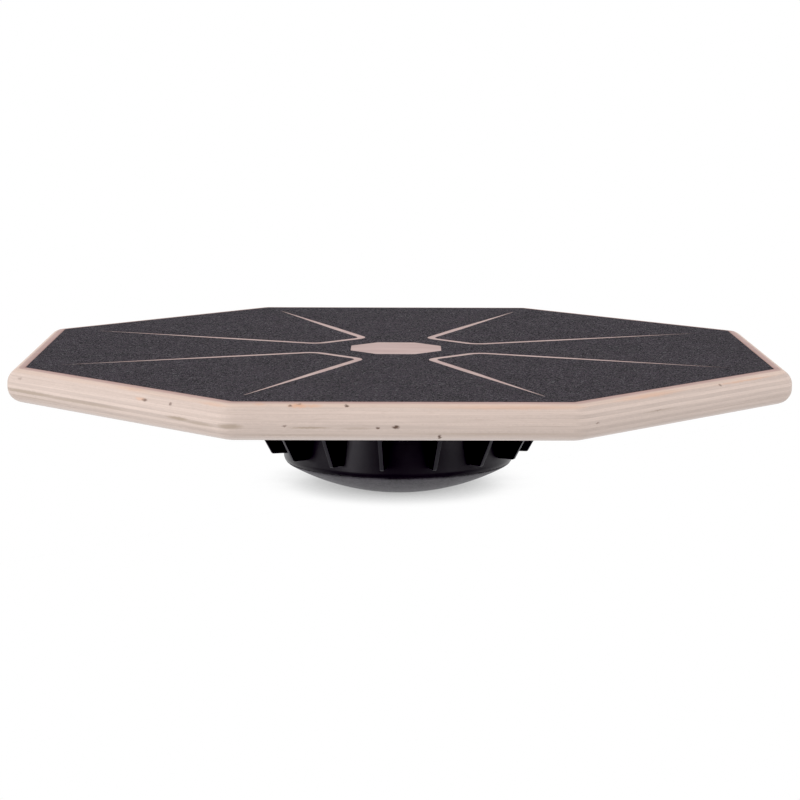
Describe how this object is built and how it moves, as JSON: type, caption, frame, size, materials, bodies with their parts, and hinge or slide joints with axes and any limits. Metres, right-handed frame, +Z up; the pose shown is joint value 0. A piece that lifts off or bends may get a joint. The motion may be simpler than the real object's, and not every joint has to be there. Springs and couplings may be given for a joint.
{
  "type": "balance board",
  "caption": "Octagonal plywood balance board with a bare-lined grip sheet on top and a ribbed black base with a domed grey rubber sole underneath.",
  "frame": {"origin": "middle of the sole's small flat at the bottom of the dome, where the level board touches the floor", "axes": "+Z up through the middle of the board; the octagonal deck's flats face +X, -X, +Y and -Y; -Y is the side that the picture shows"},
  "size_m": [0.4, 0.4, 0.0776],
  "materials": {
    "plywood": "clear-sanded birch plywood, ply lines on the edges",
    "grip": "fine anti-slip grit, matte purple-grey",
    "black_plastic": "moulded, fine satin texture",
    "sole_rubber": "matte, finely textured",
    "screw_steel": "zinc plated"
  },
  "bodies": {
    "root": {"deck": "plywood", "grip_sheet": "grip", "base_housing": "black_plastic", "rubber_sole": "sole_rubber", "flange_screw_1": "screw_steel", "flange_screw_2": "screw_steel", "flange_screw_3": "screw_steel", "flange_screw_4": "screw_steel", "flange_screw_5": "screw_steel", "flange_screw_6": "screw_steel", "flange_screw_7": "screw_steel", "flange_screw_8": "screw_steel"}
  },
  "joints": []
}
